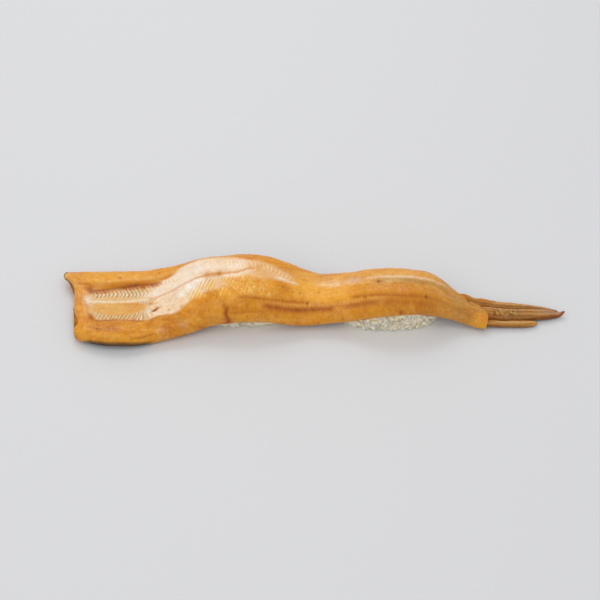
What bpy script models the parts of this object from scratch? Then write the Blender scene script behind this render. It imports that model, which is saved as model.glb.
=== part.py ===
"""Conger eel nigiri, in metres, +Z up.

One whole simmered conger eel fillet lies cut side up over two pressed balls of rice, and runs down to the
plate at both ends. +X runs from the square cut end to the tail, and -Y is the front, where the fillet hangs
lower. The origin is on the plate, at the middle of the footprint.
"""

import math
import random

import bmesh
import bpy
import numpy as np
from mathutils import Matrix, Vector
from mathutils.bvhtree import BVHTree

# ---- the fillet: what it measures along its length ---------------------------------------------------------
CUT_END_X = -0.1285
FLAP_END_X = 0.0920
SEAT_GAP = 0.0003

# Each profile is (x, value) at a few stations, and the fillet runs smoothly between them.
# The line is the groove where the backbone lay. Widths are measured from it, over the curve of the section.
LINE_Y = (
    (-0.1285, 0.0039), (-0.0950, 0.0040), (-0.0780, 0.0072), (-0.0620, 0.0084), (-0.0450, 0.0070),
    (-0.0250, 0.0070), (0.0000, 0.0059), (0.0160, 0.0054), (0.0320, 0.0027), (0.0450, 0.0011),
    (0.0720, 0.0010), (0.0920, -0.0008),
)
LIFT = (
    (-0.1285, 0.0000), (-0.1000, 0.0000), (-0.0880, 0.0010), (-0.0780, 0.0042), (-0.0670, 0.0094),
    (-0.0560, 0.0138), (-0.0450, 0.0167), (-0.0360, 0.0176), (-0.0260, 0.0162), (-0.0140, 0.0120),
    (-0.0040, 0.0086), (0.0060, 0.0080), (0.0160, 0.0100), (0.0270, 0.0148), (0.0380, 0.0176),
    (0.0480, 0.0180), (0.0580, 0.0160), (0.0680, 0.0112), (0.0780, 0.0062), (0.0860, 0.0036),
    (0.0920, 0.0028),
)
FRONT_WIDTH = (
    (-0.1285, 0.0247), (-0.1150, 0.0280), (-0.1000, 0.0293), (-0.0850, 0.0278), (-0.0650, 0.0238),
    (-0.0540, 0.0205), (-0.0480, 0.0197), (-0.0420, 0.0193), (-0.0320, 0.0193), (-0.0160, 0.0177),
    (0.0000, 0.0158), (0.0160, 0.0146), (0.0300, 0.0135), (0.0450, 0.0115), (0.0520, 0.0107),
    (0.0620, 0.0098), (0.0750, 0.0092), (0.0920, 0.0116),
)
BACK_WIDTH = (
    (-0.1285, 0.0205), (-0.0950, 0.0204), (-0.0850, 0.0186), (-0.0770, 0.0162), (-0.0700, 0.0146),
    (-0.0620, 0.0142), (-0.0540, 0.0141), (-0.0420, 0.0141), (-0.0300, 0.0141), (-0.0160, 0.0134),
    (-0.0060, 0.0119), (0.0050, 0.0098), (0.0160, 0.0088), (0.0240, 0.0086), (0.0300, 0.0090),
    (0.0380, 0.0094), (0.0480, 0.0100), (0.0580, 0.0105), (0.0650, 0.0100), (0.0700, 0.0086),
    (0.0760, 0.0074), (0.0920, 0.0058),
)
# Angles in degrees: the section's tilt at the line, back edge up, and how far each edge turns down.
TILT = (
    (-0.1285, 0.0), (-0.0950, 0.0), (-0.0700, 6.0), (-0.0420, 8.0), (-0.0160, 8.0), (0.0050, 6.0),
    (0.0450, 4.0), (0.0750, 5.0), (0.0920, 0.0),
)
FRONT_DROOP = (
    (-0.1285, 0.0), (-0.0950, 0.0), (-0.0780, 18.0), (-0.0600, 60.0), (-0.0420, 82.0), (-0.0160, 72.0),
    (0.0050, 50.0), (0.0250, 72.0), (0.0450, 86.0), (0.0600, 86.0), (0.0750, 60.0), (0.0920, 30.0),
)
BACK_DROOP = (
    (-0.1285, 0.0), (-0.0950, 0.0), (-0.0600, 18.0), (-0.0420, 30.0), (-0.0160, 34.0), (0.0050, 40.0),
    (0.0450, 55.0), (0.0750, 40.0), (0.0920, 20.0),
)
TROUGH = (
    (-0.1285, 0.0080), (-0.1225, 0.0082), (-0.1185, 0.0073), (-0.0900, 0.0074), (-0.0600, 0.0074),
    (-0.0400, 0.0074), (-0.0100, 0.0066), (0.0450, 0.0060), (0.0750, 0.0050), (0.0920, 0.0040),
)
FRONT_RIDGE = (
    (-0.1285, 0.0080), (-0.1150, 0.0092), (-0.0900, 0.0094), (-0.0420, 0.0088), (0.0000, 0.0084),
    (0.0450, 0.0080), (0.0750, 0.0066), (0.0920, 0.0058),
)
BACK_RIDGE = (
    (-0.1285, 0.0084), (-0.1150, 0.0094), (-0.0900, 0.0090), (-0.0420, 0.0080), (0.0000, 0.0078),
    (0.0450, 0.0076), (0.0750, 0.0062), (0.0920, 0.0050),
)
# Where each ridge starts and where it is full, as shares of the width from the line to that edge.
FRONT_RIDGE_START = ((-0.1285, 0.50), (-0.0900, 0.52), (-0.0600, 0.28), (0.0100, 0.10), (0.0920, 0.08))
FRONT_RIDGE_FULL = ((-0.1285, 0.68), (-0.0900, 0.68), (-0.0600, 0.55), (0.0100, 0.38), (0.0920, 0.36))
BACK_RIDGE_START = ((-0.1285, 0.40), (-0.0900, 0.40), (-0.0600, 0.50), (0.0100, 0.16), (0.0920, 0.16))
BACK_RIDGE_FULL = ((-0.1285, 0.52), (-0.0900, 0.52), (-0.0600, 0.72), (0.0100, 0.50), (0.0920, 0.50))

CURVE_STEPS = 121
DROOP_POWER = 1.5
EDGE_RADIUS = 0.0050
# The skin side turns up towards each edge, by this share of the ridge, over this span of the width.
UNDER_SHARE = 0.38
UNDER_FROM = 0.2
UNDER_TO = 0.8
END_RADIUS = 0.0045
END_LEAST = 0.42
END_MEETS = 0.35
LINE_BEAD = 0.0006
LINE_BEAD_WIDTH = 0.0014
FLANK_GROOVE = 0.0012
FLANK_GROOVE_AT = -0.60
FLANK_GROOVE_WIDTH = 0.06
FLANK_GROOVE_IN = (-0.060, -0.030)
FLANK_GROOVE_OUT = (0.060, 0.080)

# How far each end's outline stands out past its place, from the front edge (-1) to the back edge (+1).
CUT_OUTLINE = (
    (-1.0, -0.0040), (-0.85, -0.0018), (-0.62, -0.0034), (-0.35, -0.0011), (0.0, -0.0002), (0.30, 0.0001),
    (0.47, 0.0006), (0.62, 0.0026), (0.77, 0.0062), (0.88, 0.0060), (1.0, 0.0044),
)
CUT_OUTLINE_REACH = 0.0130
FLAP_OUTLINE = ((-1.0, -0.0024), (-0.75, -0.0012), (-0.4, -0.0006), (0.2, -0.0044), (1.0, -0.0110))
FLAP_OUTLINE_REACH = 0.0170
# The share of its thickness by which the cut end's skin side curls up off the plate.
CUT_CURL = (
    (-1.0, 0.0), (-0.80, 0.05), (-0.62, 0.45), (-0.35, 0.40), (0.0, 0.12), (0.35, 0.15), (0.60, 0.45),
    (0.80, 0.62), (1.0, 0.62),
)
CUT_CURL_REACH = 0.0088

# Sections evenly spaced between the rounded ends, and closer over the ends, as shares of the end radius.
STATIONS = 62
CUT_END_STATIONS = (0, 0.06, 0.2, 0.45, 0.75)
FLAP_END_STATIONS = (0.5, 0.15, 0)
SIDE_STEPS = 15

# ---- the tail: three fins that part at the end of the fillet -----------------------------------------------
# Each fin is a run of (x, y, z, half width, half height).
BACK_FIN = (
    (0.0700, 0.0034, 0.0116, 0.0020, 0.0016), (0.0780, 0.0031, 0.0082, 0.0026, 0.0018),
    (0.0860, 0.0023, 0.0055, 0.0028, 0.0018), (0.0960, 0.0016, 0.0038, 0.0027, 0.0018),
    (0.1060, 0.0014, 0.0030, 0.0024, 0.0016), (0.1150, 0.0011, 0.0025, 0.0018, 0.0013),
    (0.1240, 0.0000, 0.0021, 0.0011, 0.0009), (0.1290, -0.0007, 0.0019, 0.0004, 0.0005),
)
MIDDLE_FIN = (
    (0.0800, -0.0032, 0.0074, 0.0028, 0.0018), (0.0880, -0.0039, 0.0050, 0.0035, 0.0022),
    (0.0960, -0.0042, 0.0032, 0.0037, 0.0025), (0.1060, -0.0040, 0.0025, 0.0036, 0.0022),
    (0.1150, -0.0034, 0.0022, 0.0032, 0.0019), (0.1250, -0.0029, 0.0018, 0.0023, 0.0014),
    (0.1295, -0.0026, 0.0017, 0.0014, 0.0010), (0.1325, -0.0017, 0.0031, 0.0006, 0.0006),
)
FRONT_FIN = (
    (0.0830, -0.0080, 0.0042, 0.0017, 0.0014), (0.0900, -0.0088, 0.0028, 0.0020, 0.0016),
    (0.0970, -0.0090, 0.0020, 0.0020, 0.0017), (0.1060, -0.0090, 0.0018, 0.0020, 0.0016),
    (0.1140, -0.0087, 0.0016, 0.0018, 0.0014), (0.1174, -0.0083, 0.0014, 0.0010, 0.0009),
)
FIN_STATIONS = 16
FIN_SIDES = 10

# ---- the rice ----------------------------------------------------------------------------------------------
RICE_HEIGHT = 0.0185
RICE_WIDTH = 0.0275
BALLS = {
    "rice_left": {"x": -0.0355, "y": 0.0043, "length": 0.0515, "seed": 4},
    "rice_right": {"x": 0.0388, "y": 0.0022, "length": 0.0515, "seed": 9},
}
BALL_SEGMENTS = 24
BALL_RINGS = 12
PLAN_POWER = 3.0
HEIGHT_POWER = 2.3
# A blunt oval measures about this many times its length plus width round the outside.
ROUND_PER_SIZE = 1.65

GRAIN_LENGTH = 0.0062
GRAIN_WIDTH = 0.0030
GRAIN_HEIGHT = 0.0025
GRAIN_SEGMENTS = 6
GRAIN_RINGS = 3
GRAIN_PITCH = 0.0056
GRAIN_ROWS = (0.0018, 0.0046, 0.0074, 0.0102, 0.0130)
GRAIN_SUNK = 0.35
GRAIN_STRAY = 0.2
GRAIN_RISE = 0.0006
GRAIN_TURN = 0.9
GRAIN_LEAN = 0.3
ABOVE_PLATE = 0.0001
# The cutter is pushed out along its corners' normals, a little further than the gap they make at the faces.
CUTTER_GROWTH = SEAT_GAP * 1.3

EEL_COLOUR = (0.62, 0.30, 0.06)
EEL_ROUGHNESS = 0.3
RICE_COLOUR = (0.86, 0.84, 0.78)
RICE_ROUGHNESS = 0.45


def clear_scene():
    for old in list(bpy.data.objects):
        bpy.data.objects.remove(old)


def along(profile, x):
    """The profile's value at x, on a smooth curve through its stations."""
    at, value = np.array(profile).T
    slope = np.gradient(value, at)
    i = np.clip(np.searchsorted(at, x) - 1, 0, len(at) - 2)
    step = at[i + 1] - at[i]
    t = np.clip((x - at[i]) / step, 0, 1)
    start = (1 + 2 * t) * (1 - t) ** 2 * value[i] + t * (1 - t) ** 2 * step * slope[i]
    end = t * t * (3 - 2 * t) * value[i + 1] - t * t * (1 - t) * step * slope[i + 1]
    return start + end


def rise(t):
    """0 to 1, level at both ends."""
    t = np.clip(t, 0, 1)
    return t * t * (3 - 2 * t)


def section_curve(x, side):
    """(y, z, tilt) of the skin side at station x, for each share of the width from front (-1) to back (1)."""
    fine = np.linspace(-1, 1, CURVE_STEPS)
    droop = np.where(fine < 0, along(FRONT_DROOP, x), -along(BACK_DROOP, x))
    tilt = np.radians(along(TILT, x) + droop * abs(fine) ** DROOP_POWER)
    width = widths(x, fine)
    step = np.diff(fine) * (width[1:] + width[:-1]) / 2
    turn = (tilt[1:] + tilt[:-1]) / 2
    y = np.concatenate([[0], np.cumsum(np.cos(turn) * step)])
    z = np.concatenate([[0], np.cumsum(np.sin(turn) * step)])
    middle = CURVE_STEPS // 2
    y += along(LINE_Y, x) - y[middle]
    z += along(LIFT, x) - z[middle]
    return np.interp(side, fine, y), np.interp(side, fine, z), np.interp(side, fine, tilt)


def widths(x, side):
    return np.where(side < 0, along(FRONT_WIDTH, x), along(BACK_WIDTH, x))


def ramp(value, start, full):
    """0 up to start, and 1 from full onwards."""
    return rise((value - start) / (full - start))


def thickness(x, side):
    """The fillet's thickness: a trough along the line, with a thick ridge of muscle at each side of it."""
    trough = along(TROUGH, x)
    front = ramp(-side, along(FRONT_RIDGE_START, x), along(FRONT_RIDGE_FULL, x))
    back = ramp(side, along(BACK_RIDGE_START, x), along(BACK_RIDGE_FULL, x))
    ridges = front * (along(FRONT_RIDGE, x) - trough) + back * (along(BACK_RIDGE, x) - trough)
    bead = LINE_BEAD * np.exp(-((side * widths(x, side) / LINE_BEAD_WIDTH) ** 2))
    groove = FLANK_GROOVE * np.exp(-(((side - FLANK_GROOVE_AT) / FLANK_GROOVE_WIDTH) ** 2))
    return trough + ridges + bead - groove * ramp(x, *FLANK_GROOVE_IN) * (1 - ramp(x, *FLANK_GROOVE_OUT))


def end_share(x, end):
    """How much of the full thickness is left near an end, which is rounded over."""
    t = np.clip(abs(x - end) / END_RADIUS, 0, 1)
    return END_LEAST + (1 - END_LEAST) * np.sqrt(1 - (1 - t) ** 2)


def fillet_section(x):
    """The closed section at station x: over the top from the front edge to the back, then under the skin."""
    side = np.sin(np.linspace(-math.pi / 2, math.pi / 2, SIDE_STEPS + 1))
    y, z, tilt = section_curve(x, side)
    round_edge = np.sqrt(np.clip(1 - abs(side) ** (2 * widths(x, side) / EDGE_RADIUS), 0, 1))
    ridge = np.where(side < 0, along(FRONT_RIDGE, x), along(BACK_RIDGE, x))
    under = UNDER_SHARE * ridge * ramp(abs(side), UNDER_FROM, UNDER_TO)
    above = thickness(x, side) - under
    share = end_share(x, CUT_END_X) * end_share(x, FLAP_END_X)
    closing = END_MEETS * (1 - share)
    top = under + above * (closing + round_edge * share)
    bottom = under * (1 - round_edge) + above * closing
    bottom += (top - bottom) * along(CUT_CURL, side) * ramp(-x, -CUT_END_X - CUT_CURL_REACH, -CUT_END_X)
    out = -along(CUT_OUTLINE, side) * np.exp(-(((x - CUT_END_X) / CUT_OUTLINE_REACH) ** 2))
    out = out + along(FLAP_OUTLINE, side) * np.exp(-(((x - FLAP_END_X) / FLAP_OUTLINE_REACH) ** 2))
    upper = np.stack([x + out, y - np.sin(tilt) * top, z + np.cos(tilt) * top], 1)
    lower = np.stack([x + out, y - np.sin(tilt) * bottom, np.maximum(z + np.cos(tilt) * bottom, 0)], 1)
    return np.concatenate([upper, lower[-2:0:-1]])


def loft(name, sections, cap):
    """A closed skin over a run of like sections, with its two ends closed by cap."""
    mesh = bpy.data.meshes.new(name)
    build = bmesh.new()
    rings = [[build.verts.new(point) for point in ring] for ring in sections]
    for one, two in zip(rings, rings[1:]):
        for i in range(len(one)):
            j = (i + 1) % len(one)
            build.faces.new((one[i], one[j], two[j], two[i]))
    cap(build, rings[0])
    cap(build, rings[-1])
    bmesh.ops.recalc_face_normals(build, faces=build.faces[:])
    build.to_mesh(mesh)
    build.free()
    return bpy.data.objects.new(name, mesh)


def cap_across(build, ring):
    """Closes a flat wide ring with strips from its top run to its underside."""
    half = len(ring) // 2
    build.faces.new((ring[0], ring[1], ring[-1]))
    for i in range(1, half - 1):
        build.faces.new((ring[i], ring[i + 1], ring[-i - 1], ring[-i]))
    build.faces.new((ring[half - 1], ring[half], ring[half + 1]))


def cap_flat(build, ring):
    build.faces.new(ring)


def finish(made, colour, roughness):
    material = bpy.data.materials.new(made.name)
    material.use_nodes = True
    shader = material.node_tree.nodes["Principled BSDF"]
    shader.inputs["Base Color"].default_value = (*colour, 1)
    shader.inputs["Roughness"].default_value = roughness
    made.data.materials.clear()
    made.data.materials.append(material)
    made.data.shade_smooth()
    return made


def collection(name):
    made = bpy.data.collections.new(name)
    bpy.context.scene.collection.children.link(made)
    return made


def apply_boolean(target, operation, other):
    """Joins or cuts with another object, or with every object of a collection, and applies it."""
    cut = target.modifiers.new(operation.lower(), "BOOLEAN")
    cut.operation = operation
    cut.solver = "EXACT"
    if isinstance(other, bpy.types.Collection):
        cut.operand_type = "COLLECTION"
        cut.collection = other
    else:
        cut.object = other
    graph = bpy.context.evaluated_depsgraph_get()
    done = bpy.data.meshes.new_from_object(target.evaluated_get(graph))
    target.modifiers.clear()
    target.data = done


def keep_largest(made):
    """Fills the hollows that fusing seals and drops loose scraps: only the largest skin stays."""
    build = bmesh.new()
    build.from_mesh(made.data)
    skins = []
    waiting = set(build.faces)
    while waiting:
        skin = set()
        reach = [waiting.pop()]
        while reach:
            face = reach.pop()
            skin.add(face)
            near = {other for edge in face.edges for other in edge.link_faces} & waiting
            waiting -= near
            reach.extend(near)
        skins.append(skin)
    largest = max(skins, key=len)
    bmesh.ops.delete(build, geom=[face for face in build.faces if face not in largest], context="FACES")
    build.to_mesh(made.data)
    build.free()


def drop(group):
    for old in list(group.objects):
        bpy.data.objects.remove(old)
    bpy.data.collections.remove(group)


def fin(name, run):
    """One fin of the tail: a slim rounded strip along its run."""
    run = np.array(run)
    at = np.linspace(run[0, 0], run[-1, 0], FIN_STATIONS)
    turn = np.linspace(0, 2 * math.pi, FIN_SIDES, endpoint=False)
    sections = []
    for x in at:
        y, z, wide, high = (float(along(list(zip(run[:, 0], run[:, k])), x)) for k in (1, 2, 3, 4))
        sections.append([(x, y + wide * math.cos(t), max(z + high * math.sin(t), ABOVE_PLATE)) for t in turn])
    return loft(name, sections, cap_flat)


def eel(parts):
    at = np.concatenate([
        CUT_END_X + END_RADIUS * np.array(CUT_END_STATIONS),
        np.linspace(CUT_END_X + END_RADIUS, FLAP_END_X - END_RADIUS, STATIONS),
        FLAP_END_X - END_RADIUS * np.array(FLAP_END_STATIONS),
    ])
    body = loft("eel", [fillet_section(x) for x in at], cap_across)
    parts.objects.link(body)
    fins = collection("fins")
    for name, run in (("back_fin", BACK_FIN), ("middle_fin", MIDDLE_FIN), ("front_fin", FRONT_FIN)):
        fins.objects.link(fin(name, run))
    apply_boolean(body, "UNION", fins)
    drop(fins)
    return finish(body, EEL_COLOUR, EEL_ROUGHNESS)


def grain(name, middle, turn):
    """A cooked grain of rice: a short blunt ellipsoid of few faces."""
    mesh = bpy.data.meshes.new(name)
    build = bmesh.new()
    size = Matrix.Diagonal((GRAIN_LENGTH / 2, GRAIN_WIDTH / 2, GRAIN_HEIGHT / 2, 1))
    lying = Matrix.Rotation(math.pi / 2, 4, "Y")
    placed = Matrix.Translation(middle) @ turn.to_4x4() @ size @ lying
    bmesh.ops.create_uvsphere(
        build, u_segments=GRAIN_SEGMENTS, v_segments=GRAIN_RINGS, radius=1.0, matrix=placed)
    build.to_mesh(mesh)
    build.free()
    return bpy.data.objects.new(name, mesh)


def inside(tree, point):
    near, normal, _, _ = tree.find_nearest(point)
    return (point - near).dot(normal) < 0


def ball_core(name, ball):
    """The pressed ball: a blunt loaf with a flat base."""
    mesh = bpy.data.meshes.new(name)
    build = bmesh.new()
    bmesh.ops.create_uvsphere(build, u_segments=BALL_SEGMENTS, v_segments=BALL_RINGS, radius=1.0)
    for v in build.verts:
        flat = math.hypot(v.co.x, v.co.y)
        up = abs(v.co.z)
        stretch = (flat ** HEIGHT_POWER + up ** HEIGHT_POWER) ** (-1 / HEIGHT_POWER)
        plan = 1.0
        if flat > 1e-6:
            across = abs(v.co.x) / flat
            deep = abs(v.co.y) / flat
            plan = (across ** PLAN_POWER + deep ** PLAN_POWER) ** (-1 / PLAN_POWER)
        v.co.x *= stretch * plan * ball["length"] / 2
        v.co.y *= stretch * plan * RICE_WIDTH / 2
        v.co.z = max(v.co.z, 0.0) * stretch * RICE_HEIGHT
        v.co += Vector((ball["x"], ball["y"], 0))
    bmesh.ops.recalc_face_normals(build, faces=build.faces[:])
    build.to_mesh(mesh)
    build.free()
    return bpy.data.objects.new(name, mesh)


def rice_ball(name, ball, seat, parts):
    """A ball of rice: the core, hollowed on top to seat the fillet, with the grains that show fused on."""
    core = ball_core(name, ball)
    parts.objects.link(core)
    bpy.context.view_layer.update()
    surface = BVHTree.FromObject(core, bpy.context.evaluated_depsgraph_get())
    above = BVHTree.FromObject(seat, bpy.context.evaluated_depsgraph_get())
    apply_boolean(core, "DIFFERENCE", seat)
    draw = random.Random(ball["seed"])
    grains = collection(name + "_grains")
    for row, height in enumerate(GRAIN_ROWS):
        shrink = (1 - (height / RICE_HEIGHT) ** HEIGHT_POWER) ** (1 / HEIGHT_POWER)
        count = int(ROUND_PER_SIZE * (ball["length"] + RICE_WIDTH) * shrink / GRAIN_PITCH)
        for i in range(count):
            angle = 2 * math.pi * (i + 0.5 * (row % 2) + draw.uniform(-GRAIN_STRAY, GRAIN_STRAY)) / count
            axis_point = Vector((ball["x"], ball["y"], height + draw.uniform(-GRAIN_RISE, GRAIN_RISE)))
            outward = Vector((math.cos(angle) * ball["length"], math.sin(angle) * RICE_WIDTH, 0)).normalized()
            hit, normal, _, _ = surface.ray_cast(axis_point + outward * ball["length"], -outward)
            if hit is None:
                continue
            along_side = Vector((0, 0, 1)).cross(normal).normalized()
            turn = Matrix((along_side, normal.cross(along_side), normal)).transposed()
            turn = turn @ Matrix.Rotation(draw.uniform(-GRAIN_TURN, GRAIN_TURN), 3, "Z")
            turn = turn @ Matrix.Rotation(draw.uniform(-GRAIN_LEAN, GRAIN_LEAN), 3, "Y")
            piece = grain(f"{name}_grain", hit + normal * GRAIN_HEIGHT * (0.5 - GRAIN_SUNK), turn)
            lowest = min(v.co.z for v in piece.data.vertices)
            piece.data.transform(Matrix.Translation((0, 0, max(ABOVE_PLATE - lowest, 0))))
            if any(inside(above, v.co) for v in piece.data.vertices):
                bpy.data.objects.remove(piece)
                continue
            grains.objects.link(piece)
    apply_boolean(core, "UNION", grains)
    drop(grains)
    keep_largest(core)
    return finish(core, RICE_COLOUR, RICE_ROUGHNESS)


def seat_cutter(fillet):
    """The fillet grown by the seat gap on all sides, to press its own bed into the rice."""
    cutter = fillet.copy()
    cutter.data = fillet.data.copy()
    cutter.name = "seat_cutter"
    grow = cutter.modifiers.new("grow", "DISPLACE")
    grow.mid_level = 0.0
    grow.strength = CUTTER_GROWTH
    cutter.hide_render = True
    cutter.display_type = "WIRE"
    return cutter


def main():
    clear_scene()
    parts = collection("conger_eel_nigiri")
    cutters = collection("cutters")
    fillet = eel(parts)
    seat = seat_cutter(fillet)
    cutters.objects.link(seat)
    for name, ball in BALLS.items():
        rice_ball(name, ball, seat, parts)


main()
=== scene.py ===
"""Conger eel nigiri: one whole simmered fillet draped over two pressed balls of rice, on a pale floor.

Metres, +Z up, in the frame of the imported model. +X runs from the cut end to the tail and -Y is the front.
"""

import math
import random

import bpy
import numpy as np
from mathutils import Matrix, Vector
from mathutils.bvhtree import BVHTree


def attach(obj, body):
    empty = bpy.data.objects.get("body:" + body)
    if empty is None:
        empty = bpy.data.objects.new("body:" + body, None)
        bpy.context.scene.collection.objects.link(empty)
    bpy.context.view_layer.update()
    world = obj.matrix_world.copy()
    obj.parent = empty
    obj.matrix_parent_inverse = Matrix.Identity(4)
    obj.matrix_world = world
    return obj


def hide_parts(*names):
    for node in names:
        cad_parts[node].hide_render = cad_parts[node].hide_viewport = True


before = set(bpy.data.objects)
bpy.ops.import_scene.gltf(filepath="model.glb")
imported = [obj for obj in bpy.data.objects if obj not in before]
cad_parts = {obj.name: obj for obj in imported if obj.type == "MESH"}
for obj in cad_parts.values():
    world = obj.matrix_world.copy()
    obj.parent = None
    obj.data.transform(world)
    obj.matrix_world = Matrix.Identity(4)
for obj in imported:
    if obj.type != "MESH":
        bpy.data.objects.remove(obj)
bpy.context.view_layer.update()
bpy.context.scene.view_settings.view_transform = "Standard"

# ---- Camera ----------------------------------------------------------------------------------------
# A long lens on a stand in front of the table, looking down at the serving from half way up.
LOOK_AT = Vector((-0.008, 0.009, 0.0))
CAMERA_DISTANCE = 0.948
CAMERA_ELEVATION = math.radians(50)
SENSOR_WIDTH = 36.0
FOCAL_LENGTH = 106.2

bpy.ops.object.camera_add()
camera = bpy.context.object
camera.name = "camera"
camera.data.sensor_width = SENSOR_WIDTH
camera.data.lens = FOCAL_LENGTH
towards_camera = Vector((0, -math.cos(CAMERA_ELEVATION), math.sin(CAMERA_ELEVATION)))
camera.location = LOOK_AT + towards_camera * CAMERA_DISTANCE
camera.rotation_mode = "QUATERNION"
camera.rotation_quaternion = (-towards_camera).to_track_quat("-Z", "Y")
bpy.context.scene.camera = camera

# ---- The fillet ------------------------------------------------------------------------------------
# A whole conger eel, split along the back, boned, simmered, glazed, and laid cut side up, skin below.
# A flat grid is rolled into one closed body: stations run from the cut end to the flap at the tail, and
# each ring runs over the top from the front edge to the back edge and returns along the skin side.

# Lengths are in millimetres until the body is made, and angles in degrees.
MM = 0.001
CUT_END_X = -128.5
FLAP_END_X = 92.0

# Each profile is (x, value), with a smooth curve through its stations. Widths are measured from the line
# of the backbone, over the curve of the section. Droops are the angles by which each edge turns down.
LINE_Y = (
    (-128.5, 3.9), (-95, 4), (-78, 7.2), (-62, 8.4), (-45, 7), (-25, 7), (0, 5.9), (16, 5.4),
    (32, 2.7), (45, 1.1), (72, 1), (92, -0.8),
)
LIFT = (
    (-128.5, 0), (-100, 0), (-88, 1), (-78, 4.2), (-67, 9.4), (-56, 13.8), (-45, 16.7), (-36, 17.6),
    (-26, 16.2), (-14, 12), (-4, 8.6), (6, 8), (16, 10), (27, 14.8), (38, 17.6), (48, 18), (58, 16),
    (68, 11.2), (78, 6.2), (86, 3.6), (92, 2.8),
)
FRONT_WIDTH = (
    (-128.5, 24.7), (-115, 28), (-100, 29.3), (-85, 27.8), (-65, 23.8), (-54, 20.5), (-48, 19.7),
    (-42, 19.3), (-32, 19.3), (-16, 17.7), (0, 15.8), (16, 14.6), (30, 13.5), (45, 11.5), (52, 10.7),
    (62, 9.8), (75, 9.2), (92, 11.6),
)
BACK_WIDTH = (
    (-128.5, 20.5), (-95, 20.4), (-85, 18.6), (-77, 16.2), (-70, 14.6), (-62, 14.2), (-54, 14.1),
    (-42, 14.1), (-30, 14.1), (-16, 13.4), (-6, 11.9), (5, 9.8), (16, 8.8), (24, 8.6), (30, 9),
    (38, 9.4), (48, 10), (58, 10.5), (65, 10), (70, 8.6), (76, 7.4), (92, 5.8),
)
TILT = ((-128.5, 0), (-95, 0), (-70, 6), (-42, 8), (-16, 8), (5, 6), (45, 4), (75, 5), (92, 0))
FRONT_DROOP = (
    (-128.5, 0), (-95, 0), (-78, 18), (-60, 60), (-42, 82), (-16, 72), (5, 50), (25, 72), (45, 86),
    (60, 86), (75, 60), (92, 30),
)
BACK_DROOP = (
    (-128.5, 0), (-95, 0), (-60, 18), (-42, 30), (-16, 34), (5, 40), (45, 55), (75, 40), (92, 20),
)
# How thick the flesh is in the trough and on each ridge.
TROUGH = (
    (-128.5, 8), (-122.5, 8.2), (-118.5, 7.3), (-90, 7.4), (-60, 7.4), (-40, 7.4), (-10, 6.6),
    (45, 6), (75, 5), (92, 4),
)
FRONT_RIDGE = (
    (-128.5, 8), (-115, 9.2), (-90, 9.4), (-42, 8.8), (0, 8.4), (45, 8), (75, 6.6), (92, 5.8),
)
BACK_RIDGE = ((-128.5, 8.4), (-115, 9.4), (-90, 9), (-42, 8), (0, 7.8), (45, 7.6), (75, 6.2), (92, 5))
# Where each ridge starts and where it is full, as shares of the width from the line to that edge.
FRONT_RIDGE_START = ((-128.5, 0.5), (-90, 0.52), (-60, 0.28), (10, 0.1), (92, 0.08))
FRONT_RIDGE_FULL = ((-128.5, 0.68), (-90, 0.68), (-60, 0.55), (10, 0.38), (92, 0.36))
BACK_RIDGE_START = ((-128.5, 0.4), (-90, 0.4), (-60, 0.5), (10, 0.16), (92, 0.16))
BACK_RIDGE_FULL = ((-128.5, 0.52), (-90, 0.52), (-60, 0.72), (10, 0.5), (92, 0.5))
# How far each end reaches past its station, from the front edge at -1 to the back edge at 1, and how far
# the cut end curls up off the plate. Each fades out along the fillet over its reach.
CUT_OUTLINE = (
    (-1, -4), (-0.85, -1.8), (-0.62, -3.4), (-0.35, -1.1), (0, -0.2), (0.3, 0.1), (0.47, 0.6),
    (0.62, 2.6), (0.77, 6.2), (0.88, 6), (1, 4.4),
)
CUT_OUTLINE_REACH = 13.0
FLAP_OUTLINE = ((-1, -2.4), (-0.75, -1.2), (-0.4, -0.6), (0.2, -4.4), (1, -11))
FLAP_OUTLINE_REACH = 17.0
CUT_LIFT = (
    (-1, 0), (-0.8, 0.4), (-0.62, 3.6), (-0.35, 3.2), (0, 1), (0.35, 1.2), (0.6, 3.6), (0.8, 5.2),
    (1, 5.2),
)
CUT_LIFT_REACH = 8.0
CUT_LIFT_FULL = 1.1
# How the edges and ends are rounded over, and where in the thickness the cut and skin sides meet there.
DROOP_POWER = 1.5
EDGE_RADIUS = 5.0
UNDER_SHARE = 0.38
CUT_RADIUS = 2.6
FLAP_RADIUS = 4.4
END_LEAST = 0.06
END_MEETS = 0.35
# The grid: closer stations as far as the rows of muscle go, and steps over the top and along the skin.
ROWS_END_X = -24.0
ROW_STATIONS = 330
PLAIN_STATIONS = 240
END_STATIONS = 13
TOP_STEPS = 122
UNDER_STEPS = 36
SECTION_STEPS = 240
LATTICE = 97


def along(profile, x):
    """The profile's value at x, on a smooth curve through its stations."""
    at, value = np.array(profile).T
    slope = np.gradient(value, at)
    i = np.clip(np.searchsorted(at, x) - 1, 0, len(at) - 2)
    step = at[i + 1] - at[i]
    t = np.clip((x - at[i]) / step, 0, 1)
    start = (1 + 2 * t) * (1 - t) ** 2 * value[i] + t * (1 - t) ** 2 * step * slope[i]
    end = t * t * (3 - 2 * t) * value[i + 1] - t * t * (1 - t) * step * slope[i + 1]
    return start + end


def rise(t):
    """0 to 1, level at both ends."""
    t = np.clip(t, 0, 1)
    return t * t * (3 - 2 * t)


def between(value, low, high, soft):
    """1 from low to high, fading to 0 over soft outside them."""
    return rise((value - low + soft) / soft) * rise((high + soft - value) / soft)


def streak(distance, width):
    """1 on a line, fading away from it."""
    return np.exp(-((distance / width) ** 2))


def waves(at, pitch):
    """1 to 0 and back, once in every pitch."""
    return 0.5 + 0.5 * np.cos(2 * math.pi * at / pitch)


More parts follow.
